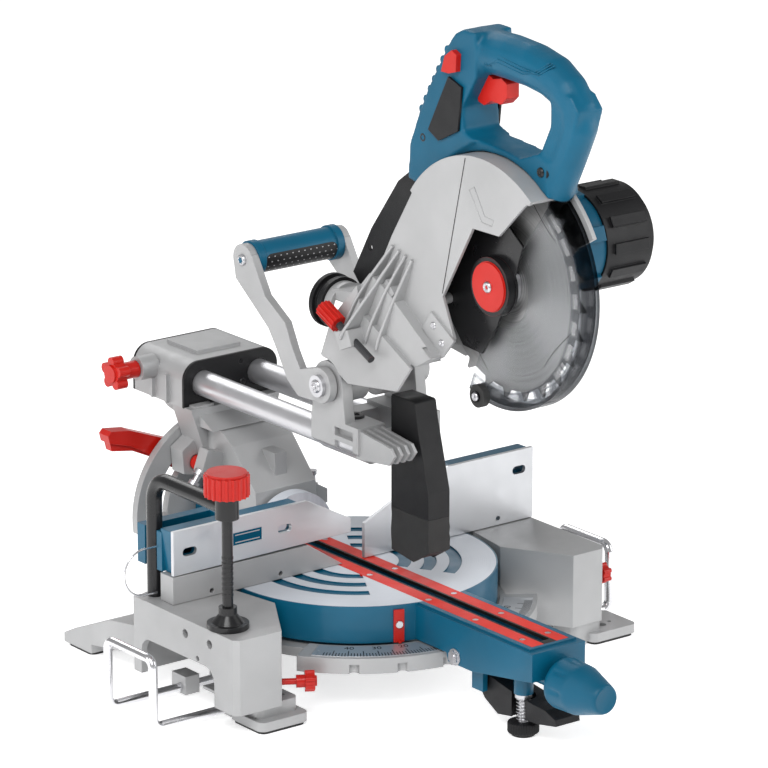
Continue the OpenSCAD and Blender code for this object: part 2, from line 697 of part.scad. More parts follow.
module hinge_spring() at_pivot() color([0.35, 0.36, 0.38])
  for (i = [0 : 6])
    translate([18.3 + i * 2.55, hin_y, hin_z]) rotate([0, 90, 0])
      rotate_extrude() translate([12, 0]) circle(1.1, $fn = 20);

module plate_shape() {
  translate([hin_y, hin_z]) circle(17);
  polygon([[-26, 268], [13, 266], [30, 278], [49.4, 308], [60, 322], [111, 359], [115, 379],
    [100, 394], [86, 386], [64.7, 351.5], [33.4, 332.7], [20.6, 308], [10.2, 293], [-18, 301]]);
  translate([100, 379]) circle(15);
}
module handle_plates() at_pivot() color([0.64, 0.65, 0.67])
  difference() {
    for (x = [-58.5, 50.5]) yz(x, 8) plate_shape();
    rod_x(-60, hin_y, hin_z, 8, 120);
    rod_x(-62, 100, 379, 4, 124);
  }
module grip() at_pivot() color([0.03, 0.22, 0.36]) {
  rod_x(-50.4, 100, 379, grip_d / 2, 100.8);
  rod_x(-50.2, 100, 379, grip_d / 2 + 1.5, 8);
  rod_x(42.2, 100, 379, grip_d / 2 + 1.5, 8);
  rod_x(-61, 100, 379, 3.9, 122);
}

module dust_duct() at_pivot() color([0.10, 0.10, 0.11])
  difference() {
    union() {
      yz(-12.5, 25) polygon([[-70, 170], [-70, 278], [-105, 278], [-108, 262], [-126, 196],
        [-126, 170]]);
      rod_x(-17.8, -80, 232, 7, 35.6);
    }
    yz(-10.5, 21) polygon([[-72, 160], [-72, 280], [-103, 280], [-106, 262], [-124, 196],
      [-124, 160]]);
    rod_x(-19, -80, 232, 3, 38);
  }
module chute_skirt() at_pivot() color([0.08, 0.08, 0.09])
  difference() {
    yz(-12.5, 25) polygon([[-70, 169.8], [-126, 169.8], [-127, 138], [-104, 124], [-70, 128]]);
    yz(-10.5, 21) polygon([[-72, 171], [-124, 171], [-125, 139], [-104, 122], [-72, 122]]);
  }

// ---------------------------------------------------------------- head
module shell_outline() {
  hub_yz() arc2(60, 121, 36, 128);
  polygon([[-139, 501], [-226, 500], [-293, 510], [-256, 473], [-219, 473], [-176.5, 401],
    [-193, 365], [-177, 344], [-151, 331], [-82, 340], [-48, 372], [-81, 406], [-101, 442]]);
}
module bulge_outline() polygon([[-107, 393], [-178, 346], [-151, 331], [-129, 303], [-55, 293],
  [-40, 300], [-14, 312], [-30, 350], [-82, 404]]);
module right_wall() {
  hub_yz() arc2(20, 121, 20, 150);
  polygon([[-226, 440], [-226, 380], [-140, 372], [-112, 400], [-110, 440]]);
}

module head_casting() at_pivot() color([0.66, 0.67, 0.69])
  difference() {
    union() {
      difference() {
        yz(-36, 50.5) shell_outline();
        // room for the blade and its guard
        yz(-33, 43.5) union() {
          hub_yz() circle(117.5);
          polygon([[-330, 380], [-193, 290], [-120, 290], [-104, 350], [-108, 430], [-140, 480],
            [-300, 500]]);
        }
        // opening in front of the side plate
        yz(-40, 26) polygon([[-219, 473.5], [-176, 401], [-193, 364], [-175, 343], [-300, 330],
          [-360, 500], [-294, 511], [-256, 474]]);
      }
      // standoffs of the side plate
      rod_x(-34, -158, 446, 5, 20.3);
      rod_x(-34, -200, 496, 5, 20.3);
      rod_x(-34, -158, 392, 5, 20.3);
      // right wall with the bearing of the lower guard
      yz(10.5, 4) right_wall();
      rod_x(7.4, hub_y, hub_z, 24.15, 4);
      yz(14, 4) hub_yz() circle(46);
      // bulge towards the hinge, open below for the fork
      difference() {
        yz(-52, 67.5) bulge_outline();
        yz(-49.3, 80) polygon([[-58, 280], [-70, 304], [-100, 342], [-116, 342], [-150, 330],
          [-200, 340], [-200, 280]]);
        yz(-15.5, 31) polygon([[-190, 280], [-190, 356], [-112, 368], [-84, 362], [-60, 342],
          [-36, 322], [-36, 280]]);
        yz(-33, 43.5) hub_yz() circle(117.5);
        // bright slope at the upper edge
        yz(-53, 6) polygon([[-76, 366], [-151, 329], [-180, 344], [-107, 396], [-60, 420]]);
        rod_x(-54, hin_y, hin_z, 26, 5);
      }
      // stepped ribs
      for (i = [0 : 3])
        yz(-36 - 2.4 * (i + 1), 2.6 + 2.4 * i) polygon([[-56 - i * 8, 376 - i * 3],
          [-86 - i * 8, 410 - i * 4], [-93 - i * 8, 404 - i * 4], [-63 - i * 8, 369 - i * 3]]);
      // barrel on the hinge
      rod_x(-36.4, hin_y, hin_z, 20, 22);
      yz(-36.4, 22) polygon([[-40, 284], [-60, 297], [-50, 340], [-12, 324], [-1, 290]]);
      rod_x(4, hin_y, hin_z, 20, 13);
      yz(4, 11.5) polygon([[-36, 290], [-40, 346], [-14, 346], [-1, 290]]);
      // bracket below the side plate
      yz(-38.6, 2.8) polygon([[-162, 384], [-149, 366], [-179, 345], [-196, 364]]);
      // lug of the depth stop
      yz(-68, 20) polygon([[-76, 352], [-82, 338], [-64, 330], [-56, 346]]);
      // dust elbow to the port
      yz(-15, 30) polygon([[-22, 322], [18, 326], [18, 362], [-30, 366], [-60, 352]]);
      rod_y(0, 12, 344, 22, 10);
    }
    // way for the mouth of the dust duct when the head swings down
    yz(-15.5, 31) polygon([[-128, 280], [-128, 352], [-112, 362], [-84, 362], [-60, 342],
      [-36, 322], [-36, 280]]);
    // hinge bore
    rod_x(-60, hin_y, hin_z, 8.05, 120);
    // room for the left ear
    rod_x(-49.2, hin_y, hin_z, 24, 12.5);
    // depth screw bore
    translate([-61, -94, 333]) rotate([-65.4, 0, 0]) cylinder(r = 3.6, h = 90);
    // dust passage
    rod_y(0, -20, 344, 17, 50);
    // spindle bore
    rod_x(4, hub_y, hub_z, 9, 20);
  }

module side_plate() at_pivot() color([0.06, 0.06, 0.07])
  difference() {
    yz(-13.7, 2.4) union() {
      polygon([[-196, 502], [-240, 478], [-262, 462], [-254, 440], [-226, 380], [-205, 350],
        [-178, 352], [-150, 384], [-150, 452], [-170, 490]]);
      hub_yz() circle(28);
    }
    rod_x(-20, hub_y, hub_z, 11, 20);
  }
module hub_cover() at_pivot() color([0.78, 0.05, 0.05])
  union() {
    rod_x(-22, hub_y, hub_z, 27, 8.2);
    rod_x(-24, hub_y, hub_z, 22.5, 2.2);
    rod_x(-25.4, hub_y, hub_z, 4.6, 1.6);
  }

// grip loop outline
module loop_outline() polygon([[-90, 494], [-93, 528], [-101, 546], [-110, 558], [-121, 578],
  [-132, 596], [-140, 612], [-150, 630], [-162, 644], [-176, 653], [-188, 655], [-208, 650],
  [-232, 650], [-256, 647], [-280, 643], [-303, 636], [-322, 626], [-336, 616], [-345, 603],
  [-345, 590], [-330, 562], [-314, 534], [-300, 513], [-280, 500], [-200, 520], [-140, 486]]);
module loop_hole() polygon([[-204, 566], [-204, 584], [-212, 594], [-232, 604], [-256, 606],
  [-277, 603], [-288, 596], [-290, 584], [-278, 566], [-264, 548], [-250, 540], [-226, 548]]);
module handle() at_pivot() color([0.03, 0.30, 0.48])
  difference() {
    union() {
      yz(-19, 38) difference() {
        loop_outline();
        hub_yz() circle(121.4);
      }
      yz(-22, 44) difference() {
        polygon([[-98, 512], [-130, 590], [-170, 640], [-200, 640], [-208, 600], [-200, 556],
          [-150, 530]]);
        hub_yz() circle(124);
      }
    }
    yz(-30, 60) loop_hole();
    // trigger and button pockets
    box([-7.4, -233, 574], [7.4, -185, 614]);
    box([-26, -184.4, 604.4], [-7, -160.4, 627.6]);
    rod_x(-11, -191, 601, 2.05, 22);
    rod_x(-24, -298, 537, 4.4, 8);
    rod_x(-24, -132, 537, 4.4, 8);
  }
module handle_trim() at_pivot() color([0.08, 0.08, 0.09]) {
  yz(-24.4, 2.3) polygon([[-139, 547], [-154, 539.5], [-182, 553.5], [-187, 594.5], [-168, 601]]);
  yz(22.1, 2.3) polygon([[-139, 547], [-154, 539.5], [-182, 553.5], [-187, 594.5], [-168, 601]]);
  rod_x(-17.9, -298, 537, 4.2, 1.5);
  rod_x(-17.9, -132, 537, 4.2, 1.5);
  // cover plate behind the guard
  difference() {
    union() {
      yz(17, 4) polygon([[-132, 400], [-132, 468], [-100, 478], [-60, 486], [-42, 473], [-1, 419],
        [27, 371], [12, 356], [-30, 364], [-66, 384], [-100, 396]]);
      rod_x(21, -62, 470, 11, 9);
      box([14.6, -131, 410], [17.5, -113, 440]);
    }
    rod_x(14, 0.6, 400, 3.2, 9);
    rod_x(14, -88, 440, 3.2, 9);
  }
}

module motor_housing() at_pivot() color([0.03, 0.30, 0.48])
  difference() {
    union() {
      yz(18.2, 22) union() {
        hub_yz() circle(40);
        translate([mot_y, mot_z]) circle(48);
      }
      rod_x(40, mot_y, mot_z, 45, 70);
      for (i = [0 : 5])
        translate([40, mot_y, mot_z]) rotate([i * 60 + 10, 0, 0]) box([0, -7, 40], [68, 7, 48.5]);
    }
    // cavity and bearing seats
    rod_x(44, mot_y, mot_z, 40, 100);
    rod_x(30, mot_y, mot_z, 4.55, 30);
    yz(22, 16) union() {
      hub_yz() circle(33);
      translate([mot_y, mot_z]) circle(16);
    }
    rod_x(10, hub_y, hub_z, 7.55, 44);
  }
module motor_cap() at_pivot() color([0.10, 0.10, 0.11])
  difference() {
    union() {
      rod_x(110.2, mot_y, mot_z, 47, 54);
      rod_x(164, mot_y, mot_z, 41, 6);
      for (a = [0 : 30 : 330])
        translate([118, mot_y, mot_z]) rotate([a, 0, 0]) box([0, -5, 44], [40, 5, 49.5]);
    }
    rod_x(104, mot_y, mot_z, 40, 56);
    rod_x(150, mot_y, mot_z, 4.55, 14);
  }

module depth_stop() at_pivot() color([0.78, 0.05, 0.05])
  translate([-61, -94, 333]) rotate([-65.4, 0, 0]) {
    translate([0, 0, -10]) cylinder(r = 3.55, h = 70);
    translate([0, 0, 44]) linear_extrude(26) lobes(12, 7.6, 1);
  }

module trigger() at_pivot() color([0.80, 0.06, 0.05])
  union() {
    rod_x(-10.5, -191, 601, 2, 21);
    trigger_blade();
  }
module trigger_blade() yz(-7, 14) polygon([[-186.5, 588], [-188, 604], [-198, 611], [-210, 604],
    [-222, 607], [-230, 603],
    [-230, 590], [-222, 583], [-208, 584], [-198, 578], [-190, 580]]);
module lock_off() at_pivot() color([0.80, 0.06, 0.05])
  yz(-27, 14) polygon([[-161, 605], [-166, 620], [-176, 627], [-183, 624], [-182, 608], [-172, 605]]);
module dust_port() at_pivot() color([0.09, 0.09, 0.10])
  difference() {
    union() {
      rod_y(0, 22.3, 344, 25, 6);
      rod_y(0, 28, 344, 22, 11);
      rod_y(0, 34.7, 344, 26, 5);
    }
    rod_y(0, 20, 344, 18, 50);
  }
module guard_roller() at_pivot() color([0.10, 0.10, 0.11])
  difference() {
    rod_x(-17.4, -203, 310, 10.5, 7);
    rod_x(-19, -203, 310, 2.55, 12);
  }

module spindle() at_pivot() color([0.6, 0.6, 0.62]) {
  rod_x(-11, hub_y, hub_z, 7.5, 48.5);
  rod_x(1.1, hub_y, hub_z, 20, 5);
  rod_x(-6.1, hub_y, hub_z, 20, 5);
  rod_x(-10.6, hub_y, hub_z, 9.5, 4.5);
  rod_x(25, hub_y, hub_z, 31, 9);
}
module armature() at_pivot() color([0.5, 0.45, 0.35]) {
  rod_x(24, mot_y, mot_z, 4.5, 138);
  rod_x(25, mot_y, mot_z, 10.9, 9);
  rod_x(66, mot_y, mot_z, 26, 52);
  rod_x(124, mot_y, mot_z, 15, 18);
  rod_x(48, mot_y, mot_z, 34, 8);
}

module blade() at_pivot() color([0.72, 0.73, 0.75])
  difference() {
    translate([0.9 - blade_t, 0, 0]) yz(0, blade_t) hub_yz() difference() {
      union() {
        circle(blade_d / 2 - 9);
        for (i = [0 : blade_teeth - 1]) rotate(i * 360 / blade_teeth)
          polygon([[blade_d / 2 - 14, -9], [blade_d / 2 - 0.4, 1.5], [blade_d / 2, 4.2],
            [blade_d / 2 - 6, 5], [blade_d / 2 - 14, 8]]);
      }
      circle(7.5);
    }
  }

module lower_guard() at_pivot() color([0.85, 0.87, 0.90, 0.35])
  union() {
    difference() {
      yz(-10, 20) hub_yz() arc2(40, 115.5, 128, 292);
      yz(-8, 16) hub_yz() circle(112.5);
      // rim slots
      for (a = [140 : 12 : 212])
        translate([0, hub_y, hub_z]) rotate([a, 0, 0]) box([-12, 101, -3], [-7, 109, 3]);
    }
    yz(7.8, 2.2) hub_yz() difference() {
      circle(44);
      circle(24.2);
    }
    // roller pin
    rod_x(-20, -203, 310, 2.5, 13);
    rod_x(-20, -203, 310, 5, 2);
  }

base_casting();
foot_pads();
mitre_scale();
fence_fixed();
fence_bolts();
left_fence_carrier();
left_fence_face();
right_fence_carrier();
right_fence_face();
wire_loop();
pivot_bolt();
left_stretcher();
right_stretcher();
left_stretcher_knob();
right_stretcher_knob();
clamp_post();
clamp_spindle();
clamp_knob();
clamp_pad();
turntable();
kerf_inserts();
insert_screws();
mitre_pointer();
arm_bolts();
bevel_quadrant();
bevel_pin();
arm_knob();
detent_lever();
foot_screw();
tower();
seal_plate();
linear_bushes();
bevel_stop();
bevel_lever();
rail_lock_knob();
rails();
fork();
fork_screws();
hinge_pin();
hinge_spring();
handle_plates();
grip();
dust_duct();
chute_skirt();
dust_port();
head_casting();
side_plate();
hub_cover();
handle();
handle_trim();
motor_housing();
motor_cap();
depth_stop();
trigger();
lock_off();
spindle();
armature();
blade();
lower_guard();
guard_roller();
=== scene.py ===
"""Looks for the sliding mitre saw: materials, detail pieces, light and camera round the CAD frame."""

import math

import bmesh
import bpy
from mathutils import Matrix, Vector


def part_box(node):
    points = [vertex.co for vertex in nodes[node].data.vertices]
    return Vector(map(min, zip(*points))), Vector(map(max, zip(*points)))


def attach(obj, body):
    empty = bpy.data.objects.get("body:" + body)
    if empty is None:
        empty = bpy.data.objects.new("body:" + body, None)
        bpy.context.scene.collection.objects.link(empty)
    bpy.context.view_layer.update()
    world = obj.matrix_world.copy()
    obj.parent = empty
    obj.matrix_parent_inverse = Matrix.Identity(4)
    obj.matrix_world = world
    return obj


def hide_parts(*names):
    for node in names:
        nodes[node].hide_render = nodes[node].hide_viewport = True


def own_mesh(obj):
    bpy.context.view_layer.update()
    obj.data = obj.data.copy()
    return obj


MM = 0.001
CAMERA_AZIMUTH = -37.54
CAMERA_ELEVATION = 16.76
CAMERA_DISTANCE = 4.9
CAMERA_LENS = 234.4
CAMERA_TARGET = Vector((0.115, 0.104, 0.212))

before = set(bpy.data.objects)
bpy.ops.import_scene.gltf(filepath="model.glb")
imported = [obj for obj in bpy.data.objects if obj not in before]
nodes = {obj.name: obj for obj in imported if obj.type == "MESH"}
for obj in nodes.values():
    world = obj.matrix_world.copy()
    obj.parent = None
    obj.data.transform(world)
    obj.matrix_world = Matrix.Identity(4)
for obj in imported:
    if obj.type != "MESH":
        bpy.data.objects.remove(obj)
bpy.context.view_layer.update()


def centre(node):
    lo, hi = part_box(node)
    return (lo + hi) / 2


# ------------------------------------------------------------------ key places, from the frame
BLADE = centre("blade")
# the blade axis, in millimetres from the turntable axis
BLADE_Y, BLADE_Z = -226, 418.8
GUARD_WINDOWS = 26
GUARD_OUTSIDE = 121.3 * MM
PIVOT = centre("pivot_bolt")
TABLE_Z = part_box("kerf_inserts")[1].z
GRIP = centre("grip")
HUB = centre("hub_cover")


def at(x, y, z):
    """A place x, y, z millimetres from the turntable axis at bench level."""
    return Vector((PIVOT.x + x * MM, PIVOT.y + y * MM, z * MM))


# ------------------------------------------------------------------ materials
def link(tree, a, b):
    tree.links.new(a, b)


def node_of(tree, kind, **values):
    n = tree.nodes.new(kind)
    for key, value in values.items():
        setattr(n, key, value)
    return n


def mix_rgb(tree, factor, a, b, blend="MIX"):
    n = tree.nodes.new("ShaderNodeMix")
    n.data_type = "RGBA"
    n.blend_type = blend
    for socket, value in ((n.inputs[0], factor), (n.inputs[6], a), (n.inputs[7], b)):
        if isinstance(value, bpy.types.NodeSocket):
            link(tree, value, socket)
        else:
            socket.default_value = value
    return n.outputs[2]


def math_node(tree, operation, a, b=0.0, clamp=False):
    n = node_of(tree, "ShaderNodeMath", operation=operation, use_clamp=clamp)
    for socket, value in ((n.inputs[0], a), (n.inputs[1], b)):
        if isinstance(value, bpy.types.NodeSocket):
            link(tree, value, socket)
        else:
            socket.default_value = value
    return n.outputs[0]


def times(tree, a, b):
    return math_node(tree, "MULTIPLY", a, b)


def minus(tree, a, b):
    return math_node(tree, "SUBTRACT", a, b)


def below(tree, a, b):
    return math_node(tree, "LESS_THAN", a, b)


def above(tree, a, b):
    return math_node(tree, "GREATER_THAN", a, b)


def gap(tree, a, b):
    """How far a is from b, on either side."""
    return math_node(tree, "ABSOLUTE", minus(tree, a, b))


def axes_of(tree, coords):
    split = tree.nodes.new("ShaderNodeSeparateXYZ")
    link(tree, coords, split.inputs[0])
    return split.outputs


def noise(tree, coords, scale, detail=4.0, stretch=(1, 1, 1)):
    place = tree.nodes.new("ShaderNodeMapping")
    place.inputs["Scale"].default_value = stretch
    link(tree, coords, place.inputs["Vector"])
    n = tree.nodes.new("ShaderNodeTexNoise")
    n.inputs["Scale"].default_value = scale
    n.inputs["Detail"].default_value = detail
    link(tree, place.outputs[0], n.inputs["Vector"])
    return n.outputs["Fac"]


def ramp(tree, value, low, high, out_low=0.0, out_high=1.0):
    n = tree.nodes.new("ShaderNodeMapRange")
    n.inputs["From Min"].default_value = low
    n.inputs["From Max"].default_value = high
    n.inputs["To Min"].default_value = out_low
    n.inputs["To Max"].default_value = out_high
    link(tree, value, n.inputs["Value"])
    return n.outputs["Result"]


def rgba(colour, k=1.0):
    return (colour[0] * k, colour[1] * k, colour[2] * k, 1.0)


def surface(name, colour, metallic, roughness, grain=900.0, bump=0.15, stretch=(1, 1, 1), edge_wear_and_highlight=0.25,
            edge=0.9, coat=0.0, spread=0.12, paint=None):
    """A procedural surface: base tone with slight variation, edges lightened partly as wear and partly as a
    painted highlight, varied roughness and grain bump.
    """
    m = bpy.data.materials.new(name)
    m.use_nodes = True
    t = m.node_tree
    t.nodes.clear()
    out = t.nodes.new("ShaderNodeOutputMaterial")
    b = t.nodes.new("ShaderNodeBsdfPrincipled")
    link(t, b.outputs[0], out.inputs[0])
    coords = t.nodes.new("ShaderNodeTexCoord").outputs["Object"]
    broad = noise(t, coords, 14.0, 3.0)
    fine = noise(t, coords, grain, 3.0, stretch)
    patch_noise = noise(t, coords, 60.0, 6.0)
    tone = mix_rgb(t, ramp(t, broad, 0.3, 0.7), rgba(colour, 1 - spread), rgba(colour, 1 + spread))
    if paint:
        tone = paint(t, coords, tone)
    # rounded edges in the shading, and a lighter tone along them that is partly wear and partly a painted
    # highlight
    round_edge = t.nodes.new("ShaderNodeBevel")
    round_edge.samples = 4
    round_edge.inputs["Radius"].default_value = edge * MM
    geometry = t.nodes.new("ShaderNodeNewGeometry")
    facing = node_of(t, "ShaderNodeVectorMath", operation="DOT_PRODUCT")
    link(t, round_edge.outputs[0], facing.inputs[0])
    link(t, geometry.outputs["Normal"], facing.inputs[1])
    edge_mask = ramp(t, facing.outputs["Value"], 0.99, 0.8)
    # the lighter tone on the edges is partly wear and partly a painted highlight
    worn_and_lit_edge = math_node(t, "MULTIPLY", edge_mask, ramp(t, patch_noise, 0.45, 0.62, 0.0, edge_wear_and_highlight), clamp=True)
    wear_and_highlight_tone = tuple(min(1.0, c * 1.5 + 0.12) for c in colour)
    tone = mix_rgb(t, worn_and_lit_edge, tone, rgba(wear_and_highlight_tone))
    link(t, tone, b.inputs["Base Color"])
    b.inputs["Metallic"].default_value = metallic
    b.inputs["Specular IOR Level"].default_value = 0.26
    link(t, ramp(t, patch_noise, 0.3, 0.75, roughness - 0.06, roughness + 0.1), b.inputs["Roughness"])
    b.inputs["Coat Weight"].default_value = coat
    b.inputs["Coat Roughness"].default_value = 0.15
    bumps = t.nodes.new("ShaderNodeBump")
    bumps.inputs["Strength"].default_value = bump
    bumps.inputs["Distance"].default_value = 0.0004
    link(t, fine, bumps.inputs["Height"])
    link(t, round_edge.outputs[0], bumps.inputs["Normal"])
    link(t, bumps.outputs[0], b.inputs["Normal"])
    return m


def radial(t, coords, a, b, origin):
    """Distance from a line through origin; a and b are the two axes across it."""
    axes = axes_of(t, coords)
    da = minus(t, axes[a], origin[a])
    db = minus(t, axes[b], origin[b])
    squares = math_node(t, "ADD", times(t, da, da), times(t, db, db))
    return math_node(t, "SQRT", squares), da, db


def turned_rings(t, radius, scale):
    """Fine rings left by turning, which change only with the radius."""
    rings = node_of(t, "ShaderNodeTexNoise", noise_dimensions="1D")
    rings.inputs["Scale"].default_value = scale
    link(t, radius, rings.inputs["W"])
    return rings.outputs["Fac"]


def paint_table(t, coords, tone):
    """The turned top of the table is bare metal; its grooves and rim stay painted."""
    radius, _, _ = radial(t, coords, 0, 1, PIVOT)
    top = above(t, axes_of(t, coords)[2], TABLE_Z - 0.4 * MM)
    inside = below(t, radius, 132.5 * MM)
    metal = mix_rgb(t, turned_rings(t, radius, 1400.0), rgba((0.50, 0.53, 0.58)), rgba((0.66, 0.69, 0.74)))
    return mix_rgb(t, times(t, top, inside), tone, metal)


def paint_hub(t, coords, tone):
    """Red face inside a black ring."""
    radius, _, _ = radial(t, coords, 1, 2, HUB)
    return mix_rgb(t, above(t, radius, 23.2 * MM), tone, rgba(BLACK))


def paint_grip(t, coords, tone):
    """Soft black panel with pale dots let into the lower front of the grip."""
    _, dy, dz = radial(t, coords, 1, 2, GRIP)
    along = gap(t, axes_of(t, coords)[0], GRIP.x)
    angle = math_node(t, "ARCTAN2", dz, times(t, dy, -1.0))
    off = math_node(t, "ABSOLUTE", math_node(t, "ADD", angle, 0.62))
    across = math_node(t, "MAXIMUM", math_node(t, "DIVIDE", minus(t, off, 0.55), 0.42), 0.0)
    ends = math_node(t, "MAXIMUM", math_node(t, "DIVIDE", minus(t, along, 35 * MM), 7 * MM), 0.0)
    reach = math_node(t, "ADD", times(t, across, across), times(t, ends, ends))
    panel = below(t, reach, 1.0)
    row_u = times(t, along, 1 / (7 * MM))
    row_v = times(t, angle, 3.2)
    shift = times(t, math_node(t, "FLOORED_MODULO", math_node(t, "FLOOR", row_v), 2.0), 0.5)
    u = minus(t, math_node(t, "FRACT", math_node(t, "ADD", row_u, shift)), 0.5)
    v = minus(t, math_node(t, "FRACT", row_v), 0.5)
    dot = math_node(t, "ADD", times(t, u, u), times(t, v, v))
    dots = mix_rgb(t, below(t, dot, 0.014), rgba(BLACK), rgba((0.35, 0.35, 0.36)))
    return mix_rgb(t, panel, tone, dots)


DEPTH = at(-61, -94, 333)
DEPTH_AXIS = Vector((0, 0.9092, 0.4163))


def paint_depth(t, coords, tone):
    """Red knob on a black threaded rod."""
    place = node_of(t, "ShaderNodeVectorMath", operation="SUBTRACT")
    link(t, coords, place.inputs[0])
    place.inputs[1].default_value = DEPTH
    along = node_of(t, "ShaderNodeVectorMath", operation="DOT_PRODUCT")
    link(t, place.outputs[0], along.inputs[0])
    along.inputs[1].default_value = DEPTH_AXIS
    distance = along.outputs["Value"]
    thread = math_node(t, "FRACT", times(t, distance, 1 / (1.5 * MM)))
    rod = mix_rgb(t, thread, rgba((0.01, 0.01, 0.011)), rgba((0.06, 0.06, 0.065)))
    return mix_rgb(t, below(t, distance, 43.9 * MM), tone, rod)


def paint_fence(t, coords, tone):
    """Blue label field with pale bars, let into the left face plate."""
    axes = axes_of(t, coords)
    dx = gap(t, axes[0], PIVOT.x - 127.3 * MM)
    dz = gap(t, axes[2], 145 * MM)
    inside = times(t, below(t, dx, 16.4 * MM), below(t, dz, 6.0 * MM))
    bar = times(t, below(t, dx, 14.0 * MM), below(t, gap(t, dz, 3.6 * MM), 0.5 * MM))
    label = mix_rgb(t, bar, rgba(BLUE), rgba((0.5, 0.5, 0.5)))
    return mix_rgb(t, inside, tone, label)


def paint_slot(t, coords, tone):
    """The strip along the kerf is black."""
    dx = gap(t, axes_of(t, coords)[0], PIVOT.x)
    return mix_rgb(t, below(t, dx, 7.4 * MM), tone, rgba((0.006, 0.006, 0.006)))


def paint_blade(t, coords, tone):
    """Fine turned rings, a painted sheen in four pale bands round the blade, and four curved expansion
    slots.
    """
    radius, dy, dz = radial(t, coords, 1, 2, BLADE)
    angle = math_node(t, "ARCTAN2", dz, dy)
    # painted sheen: four bands round the blade lightened towards pale grey, standing in for reflected light
    painted_sheen = ramp(t, math_node(t, "SINE", times(t, angle, 4.0)), -1.0, 1.0, 0.0, 0.35)
    rings = ramp(t, turned_rings(t, radius, 620.0), 0.35, 0.65)
    tone = mix_rgb(t, rings, rgba((0.18, 0.181, 0.183)), rgba((0.31, 0.313, 0.317)))
    tone = mix_rgb(t, painted_sheen, tone, rgba((0.62, 0.62, 0.62)))
    turn = math_node(t, "FRACT", times(t, math_node(t, "ADD", angle, math.pi), 4 / math.tau))
    off = minus(t, turn, 0.45)
    path = math_node(t, "ADD", times(t, times(t, off, off), 0.16), 0.082)
    near = below(t, gap(t, radius, path), 0.45 * MM)
    within = below(t, gap(t, turn, 0.38), 0.2)
    return mix_rgb(t, times(t, near, within), tone, rgba((0.03, 0.03, 0.03)))


CAST = (0.40, 0.402, 0.406)
BLUE = (0.0, 0.088, 0.162)
BLACK = (0.008, 0.008, 0.009)
RED = (0.47, 0.009, 0.004)
MACHINED = (0.60, 0.61, 0.63)

looks = {
    "cast": surface("cast_grey", CAST, 0.35, 0.42, grain=1300, bump=0.35, spread=0.06, edge=1.0),
    "machined": surface("machined", MACHINED, 0.75, 0.34, grain=500, stretch=(0.04, 1, 1), bump=0.12,
                        spread=0.05, edge=0.5),
    "blue_paint": surface("blue_paint", BLUE, 0.0, 0.36, grain=1500, bump=0.12, coat=0.25, edge=0.8),
    "table": surface("table_paint", BLUE, 0.0, 0.36, grain=1500, bump=0.12, coat=0.2, edge=0.7,
                     paint=paint_table),
    "blue_plastic": surface("blue_plastic", BLUE, 0.0, 0.40, grain=2400, bump=0.3, edge=1.2),
    "black_plastic": surface("black_plastic", BLACK, 0.0, 0.44, grain=2400, bump=0.35, edge=1.0),
    "black_metal": surface("black_metal", BLACK, 0.0, 0.30, grain=1200, bump=0.15, coat=0.3, edge=0.8),
    "red": surface("red_plastic", RED, 0.0, 0.34, grain=2200, bump=0.15, coat=0.15, edge=0.9),
    "rubber": surface("rubber", (0.028, 0.028, 0.028), 0.0, 0.62, grain=1800, bump=0.4, edge=0.8),
    "steel": surface("steel", (0.55, 0.55, 0.57), 0.95, 0.30, grain=900, bump=0.1, edge=0.4),
    "chrome": surface("chrome", (0.72, 0.72, 0.74), 1.0, 0.20, grain=200, bump=0.03, spread=0.03, edge=0.3),
    "rail": surface("rail_chrome", (0.62, 0.62, 0.64), 0.85, 0.34, grain=300, stretch=(1, 0.05, 1),
                    bump=0.05, spread=0.03, edge=0.4),
    "copper": surface("copper", (0.50, 0.25, 0.12), 0.9, 0.35, edge=0.4),
    "blade": surface("blade_steel", (0.50, 0.51, 0.52), 0.6, 0.34, grain=700, bump=0.06, edge=0.15,
                     spread=0.04, paint=paint_blade),
    "hub": surface("hub_cover", RED, 0.0, 0.34, grain=2200, bump=0.15, coat=0.15, edge=0.9,
                   paint=paint_hub),
    "grip": surface("carry_grip", BLUE, 0.0, 0.36, grain=2400, bump=0.25, edge=1.2, paint=paint_grip),
    "depth": surface("depth_screw", RED, 0.0, 0.34, grain=2200, bump=0.15, edge=0.7, paint=paint_depth),
    "fence": surface("fence_face", MACHINED, 0.75, 0.34, grain=500, stretch=(0.04, 1, 1), bump=0.12,
                     spread=0.05, edge=0.5, paint=paint_fence),
    "ink": surface("scale_ink", (0.012, 0.012, 0.013), 0.0, 0.5, edge=0.1),
    "insert": surface("insert_red", (0.66, 0.020, 0.008), 0.0, 0.42, grain=1800, bump=0.2, edge=0.6,
                      paint=paint_slot),
}


def guard_tint(t, coords):
    """Clear faces, a darker see-through band over the teeth with a row of bright windows, and painted shade
    on the outer rim.
    """
    radius, dy, dz = radial(t, coords, 1, 2, BLADE)
    angle = math_node(t, "ARCTAN2", dz, dy)
    turn = math_node(t, "FRACT", times(t, angle, GUARD_WINDOWS / math.tau))
    window = times(t, above(t, turn, 0.45), ramp(t, radius, 100.5 * MM, 101.0 * MM))
    window = times(t, window, below(t, radius, 107.5 * MM))
    band = ramp(t, radius, 98.0 * MM, 99.5 * MM)
    tint = mix_rgb(t, band, rgba((0.90, 0.905, 0.91)), rgba((0.60, 0.61, 0.625)))
    tint = mix_rgb(t, window, tint, rgba((0.98, 0.98, 0.98)))
    # painted shade: the outer rim is darkened
    return mix_rgb(t, ramp(t, radius, 111.5 * MM, 112.5 * MM), tint, rgba((0.30, 0.305, 0.315)))


